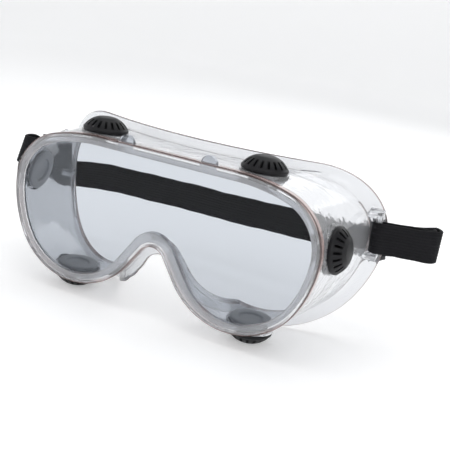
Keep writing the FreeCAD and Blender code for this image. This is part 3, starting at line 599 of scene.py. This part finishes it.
bpy.data.objects.remove(cap_pattern)

# ------------------------------------------------------------------ head strap
# Black elastic webbing, 16 mm wide, knitted with lengthwise ribs.  It loops each lug's bar, lies
# doubled to the slide on the +X side, and its other end is sewn back on itself.

STRAP_WIDTH, STRAP_THICKNESS, STRAP_DROP = 16.0, 1.5, 1.0
BAR_PLAY = 0.3
WRAP = LUG_BAR + BAR_PLAY + STRAP_THICKNESS / 2
PLAY, SLIDE_BAR = 0.25, 0.9
PITCH = STRAP_THICKNESS + 2 * PLAY + SLIDE_BAR
FOLD_RADIUS = 2.4
OUTER_FOLD = FOLD_RADIUS + PITCH
bar_z, bar_depth = LUG_Z - STRAP_DROP, lug_depth + STRAP_DROP * math.tan(LUG_LEAN)
FOLD_OUT, RIGHT_FOLD_BACK, LEFT_FOLD_BACK = 21.3, 18.5, 1.5
fold_x = bar_x + FOLD_OUT
RIGHT_FOLD_Z, LEFT_FOLD_Z = 9.0, 8.0
right_fold_depth, left_fold_depth = lug_depth + RIGHT_FOLD_BACK, lug_depth + LEFT_FOLD_BACK
ADJUSTER_PLACE, TAIL_LENGTH = 31.0, 20.0
SEAM_LENGTH, SEAM_PINCH = 16.0, 1.0
SLIDE_REACH = 49.0


def tangent(first, second):
    """Ends and heading of the straight run between two round stations, seen from above."""
    (ax, ay, ar, at), (bx, by, br, bt) = first[:4], second[:4]
    length = math.hypot(bx - ax, by - ay)
    heading = math.atan2(by - ay, bx - ax) + math.asin((at * ar - bt * br) / length)
    right = (math.sin(heading), -math.cos(heading))
    return ((ax + at * ar * right[0], ay + at * ar * right[1]),
            (bx + bt * br * right[0], by + bt * br * right[1]), heading)


# stations: x, depth, radius, turn (1 is left, seen from above), height, lean
outer_fold = (fold_x, right_fold_depth, OUTER_FOLD, 1, RIGHT_FOLD_Z, 0.0)
inner_fold = (fold_x, right_fold_depth, FOLD_RADIUS, -1, RIGHT_FOLD_Z, 0.0)
left_fold = (-fold_x, left_fold_depth, OUTER_FOLD, 1, LEFT_FOLD_Z, 0.0)
crossing = [(48.0, 36.0, 60.0, 1, -4.2, 0.0), (-22.0, 12.0, 88.0, 1, -6.6, 0.0),
            (-72.0, 60.0, 36.0, 1, -6.8, 0.0)]
start, stop, run_heading = tangent(outer_fold, crossing[0])
run_length, run_rise = math.dist(start, stop), crossing[0][4] - RIGHT_FOLD_Z


def height_share(number, share):
    """Share of a run's rise: straight where the slide travels, and eased into the next bend beyond."""
    if number == TAIL_RUN:
        return share
    if number != SLIDE_RUN:
        return share * share * (3 - 2 * share)
    held = SLIDE_REACH / run_length
    late = max(0.0, (share - held) / (1 - held))
    return share + (1 - held) * (late ** 2 - late ** 3)


def on_run(distance, inward):
    """A point of the straight run behind the +X fold, moved towards the face."""
    return (start[0] + distance * math.cos(run_heading) - inward * math.sin(run_heading),
            start[1] + distance * math.sin(run_heading) + inward * math.cos(run_heading),
            RIGHT_FOLD_Z + run_rise * distance / run_length)


tail_end = on_run(ADJUSTER_PLACE + TAIL_LENGTH, PITCH)
route = [(*tail_end[:2], 0, 1, tail_end[2], 0.0), inner_fold, (bar_x, bar_depth, WRAP, 1, bar_z, LUG_LEAN),
         outer_fold, *crossing, left_fold, (-bar_x, bar_depth, WRAP, 1, bar_z, LUG_LEAN),
         (-bar_x - SEAM_LENGTH, bar_depth + WRAP - SEAM_PINCH, 0, 1, bar_z, LUG_LEAN / 4)]
TAIL_RUN, SLIDE_RUN = 0, 3
runs = [tangent(a, b) for a, b in zip(route, route[1:])]
STEP = 1.0
line = []
for number, (x, y, radius, turn, height, lean) in enumerate(route):
    if radius:
        into, out = runs[number - 1][2], runs[number][2]
        swing = (out - into) * turn % math.tau * turn
        count = max(6, math.ceil(abs(swing) * radius / STEP))
        for i in range(count + 1):
            heading = into + swing * i / count
            line.append((x + turn * radius * math.sin(heading), y - turn * radius * math.cos(heading),
                         height, lean, heading))
    if number < len(runs):
        a, b, heading = runs[number]
        _, _, _, _, next_height, next_lean = route[number + 1]
        count = max(2, math.ceil(math.dist(a, b) / STEP))
        first = 1 if radius else 0
        last = count if route[number + 1][2] else count + 1
        for i in range(first, last):
            share = i / count
            ease = height_share(number, share)
            line.append((a[0] + (b[0] - a[0]) * share, a[1] + (b[1] - a[1]) * share,
                         height + (next_height - height) * ease, lean + (next_lean - lean) * ease, heading))

FOLD_SLANT = 0.28
RIBS, RIB_HEIGHT, ACROSS = 11, 0.16, 110
half_width, half_thick = STRAP_WIDTH / 2, STRAP_THICKNESS / 2
section = []
for i in range(ACROSS + 1):
    v = -1 + 2 * i / ACROSS
    rib = RIB_HEIGHT * (abs(math.sin(math.pi * RIBS * (v + 1) / 2)) - 1)
    edge_round = 0.35 * max(0.0, (abs(v) - 0.95) / 0.05) ** 2
    section.append((v * half_width, half_thick + rib - edge_round))
section += [(across, -out) for across, out in reversed(section)]
work = bmesh.new()
uv_layer = work.loops.layers.uv.new("strap")
rings, lengths, travelled = [], [], 0.0
for k, (x, y, z, lean, heading) in enumerate(line):
    travelled += math.dist(line[k][:3], line[k - 1][:3]) if k else 0.0
    up = Vector((0, -math.sin(lean), math.cos(lean)))
    out = Vector((-math.sin(heading), math.cos(heading), 0))
    slant = FOLD_SLANT * min(1.0, max(0.0, (-x - bar_x - 4.0) / 14.0))
    wander = 0.12 * math.sin(travelled * 0.21) + 0.08 * math.sin(travelled * 0.47 + 1.3)
    rings.append([work.verts.new(place(x + slant * (a - half_width), y, z)
                                 + (up * (a + wander * a / half_width) + out * o) * MM) for a, o in section])
    lengths.append(travelled)
size = len(section)
for k in range(len(rings) - 1):
    for i in range(size):
        j = (i + 1) % size
        face = work.faces.new((rings[k][i], rings[k][j], rings[k + 1][j], rings[k + 1][i]))
        for loop, (ring, at) in zip(face.loops, ((k, i), (k, j), (k + 1, j), (k + 1, i))):
            loop[uv_layer].uv = (lengths[ring] / 10, section[at][0] / 10)
work.faces.new(rings[0])
work.faces.new(rings[-1][::-1])
mesh = bpy.data.meshes.new("elastic_strap")
work.to_mesh(mesh)
work.free()
strap = settle(show("elastic_strap", mesh), crease=60.0)

webbing, shader, here = new_material("strap_elastic", Sheen_Weight=0.04, Sheen_Roughness=0.5,
                                     Specular_IOR_Level=0.08)
knit = here.node("ShaderNodeUVMap", {"uv_map": "strap"}, {})
threads = knit.node("ShaderNodeTexWave", {"wave_type": "BANDS", "bands_direction": "X"},
                    {"Vector": knit, "Scale": 3.6, "Distortion": 0.6, "Detail": 1.0})
cords = knit.node("ShaderNodeTexWave", {"wave_type": "BANDS", "bands_direction": "Y"},
                  {"Vector": knit, "Scale": 5.2, "Distortion": 0.3, "Detail": 1.0})
fuzz = here.noise(2600.0, 2.0)
patches = here.noise(55.0, 2.0)
STRAP_DARK, STRAP_PALE = (0.003, 0.003, 0.0035, 1), (0.022, 0.022, 0.025, 1)
feed(shader, Base_Color=(fuzz * 0.7 + patches * 0.3).blend(STRAP_DARK, STRAP_PALE),
     Roughness=fuzz * 0.2 + 0.72, Normal=(threads * 0.5 + cords * 0.7 + fuzz * 0.2).bump(0.5, 0.00018))
strap.data.materials.append(webbing)
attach(strap, "frame")
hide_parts("head_strap")

# ------------------------------------------------------------------ strap adjuster
# A small black slide behind the +X temple.  One ply passes each side of its middle bar, and it is
# pushed along the strap to set the length.

SLIDE_LENGTH, RAIL, SLIDE_SKIN = 9.0, 2.2, 1.3
slot_deep = STRAP_THICKNESS + 2 * PLAY
near, deep = PITCH / 2 - slot_deep / 2, PITCH / 2 + slot_deep / 2
high = STRAP_WIDTH / 2 + PLAY
at = on_run(ADJUSTER_PLACE, PITCH / 2)
pitch = -math.atan2(run_rise, run_length)
stand = Matrix.Translation(place(*at)) @ Matrix.Rotation(run_heading, 4, "Z") @ Matrix.Rotation(pitch, 4, "Y")
half = SLIDE_LENGTH / 2
slide = show("strap_slide", block("strap_slide", (-half, -deep - SLIDE_SKIN, -high - RAIL),
                                  (half, deep + SLIDE_SKIN, high + RAIL), stand, 0.7))
for low_y, high_y in ((near, deep), (-deep, -near)):
    slot = block("slot", (-half - 1, low_y, -high), (half + 1, high_y, high), stand)
    combine(slide, "DIFFERENCE", joined("slot", slot))
settle(slide, ("BEVEL", {"width": 0.0002, "segments": 2, "limit_method": "ANGLE",
                         "angle_limit": math.radians(50)}), crease=40.0)
slide.data.materials.clear()
slide.data.materials.append(satin_plastic("adjuster_plastic", (0.028, 0.028, 0.031, 1), 1700.0, 0.0001))
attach(slide, "adjuster")
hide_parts("strap_adjuster")

# ------------------------------------------------------------------ table, light and camera
# The goggles stand on a plain pale table, under soft studio light.

FLOOR_REACH, COVE_RADIUS, COVE_TOP = 1500.0, 500.0, 1100.0
cove = [(FLOOR_REACH + COVE_RADIUS * math.sin(math.pi * i / 24),
         COVE_RADIUS * (1 - math.cos(math.pi * i / 24))) for i in range(13)]
profile = [(0, 0)] + cove + [(FLOOR_REACH + COVE_RADIUS, COVE_TOP)]
profile += [(FLOOR_REACH + COVE_RADIUS + 20, COVE_TOP), (FLOOR_REACH + COVE_RADIUS + 20, -20), (0, -20)]
table = settle(show("table", lathe("table", profile, Matrix(), 96)), crease=60.0)
paper, shader, here = new_material("pale_table", Roughness=0.9, Emission_Color=(1, 1, 1, 1),
                                   Emission_Strength=0.3)
feed(shader, Base_Color=here.noise(3.0).blend((0.90, 0.90, 0.905, 1), (0.93, 0.93, 0.935, 1)))
table.data.materials.append(paper)

world = bpy.data.worlds.new("studio")
bpy.context.scene.world = world
world.use_nodes = True
world.node_tree.nodes["Background"].inputs["Color"].default_value = (0.96, 0.98, 1.0, 1)
world.node_tree.nodes["Background"].inputs["Strength"].default_value = 0.38
centre = place(0, 30, 0)
LAMPS = [("overhead", (0.0, 0.05, 0.75), 0.8, 2.4), ("left_box", (-0.75, -0.35, 0.35), 0.5, 1.2),
         ("right_box", (0.7, -0.55, 0.45), 0.4, 0.9), ("back_box", (0.1, 0.8, 0.5), 0.6, 1.2)]
for name, offset, size, power in LAMPS:
    lamp = bpy.data.lights.new(name, "AREA")
    lamp.size, lamp.energy = size, power
    light = bpy.data.objects.new(name, lamp)
    bpy.context.scene.collection.objects.link(light)
    light.location = centre + Vector(offset)
    light.rotation_euler = Vector(offset).to_track_quat("Z", "Y").to_euler()

ROLL = math.radians(9.6)
eye, aim = place(161.0, -313.9, 106.0), place(34.2, 0.0, 12.3)
back = (eye - aim).normalized()
right = Vector((0, 0, 1)).cross(back).normalized()
up = back.cross(right)
across = right * math.cos(ROLL) + up * math.sin(ROLL)
upward = up * math.cos(ROLL) - right * math.sin(ROLL)
camera_data = bpy.data.cameras.new("camera")
camera_data.lens, camera_data.sensor_width, camera_data.clip_start = 63.8, 36.0, 0.01
camera = bpy.data.objects.new("camera", camera_data)
bpy.context.scene.collection.objects.link(camera)
camera.matrix_world = Matrix((across, upward, back)).transposed().to_4x4()
camera.location = eye
bpy.context.scene.camera = camera
bpy.context.scene.view_settings.view_transform = "Standard"
